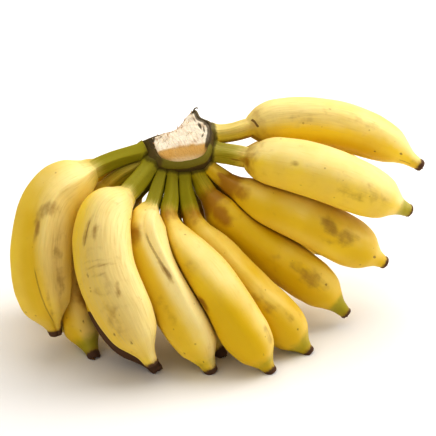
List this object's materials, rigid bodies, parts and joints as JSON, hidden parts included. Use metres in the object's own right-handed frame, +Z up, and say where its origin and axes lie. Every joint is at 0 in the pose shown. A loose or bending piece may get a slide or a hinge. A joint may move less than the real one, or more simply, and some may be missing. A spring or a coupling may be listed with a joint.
{
  "type": "banana hand",
  "caption": "Hand of short, plump ripe bananas joined at a cut crown, fanned out and standing on its tips.",
  "frame": {"origin": "middle of the bounding box at the surface that the tips rest on", "axes": "+Z up; +X along the fan, from the fingers that hang down to the ones that reach out; -Y towards the side that the cut crown faces"},
  "size_m": [0.258, 0.1558, 0.1334],
  "materials": {
    "peel": "waxy, slightly glossy ripe banana peel: butter yellow to gold, olive green at the neck, brown-black at the tip, with scuffs and specks",
    "crown": "dry, fibrous, torn and cut plant flesh: cream to tan on the cut face, dark brown and olive green round it"
  },
  "bodies": {
    "root": {"crown": "crown", "finger_01": "peel", "finger_02": "peel", "finger_03": "peel", "finger_04": "peel", "finger_05": "peel", "finger_06": "peel", "finger_07": "peel", "finger_08": "peel", "finger_09": "peel", "finger_10": "peel", "finger_11": "peel", "finger_12": "peel", "finger_13": "peel", "finger_14": "peel", "finger_15": "peel", "finger_16": "peel", "finger_17": "peel"}
  },
  "joints": []
}
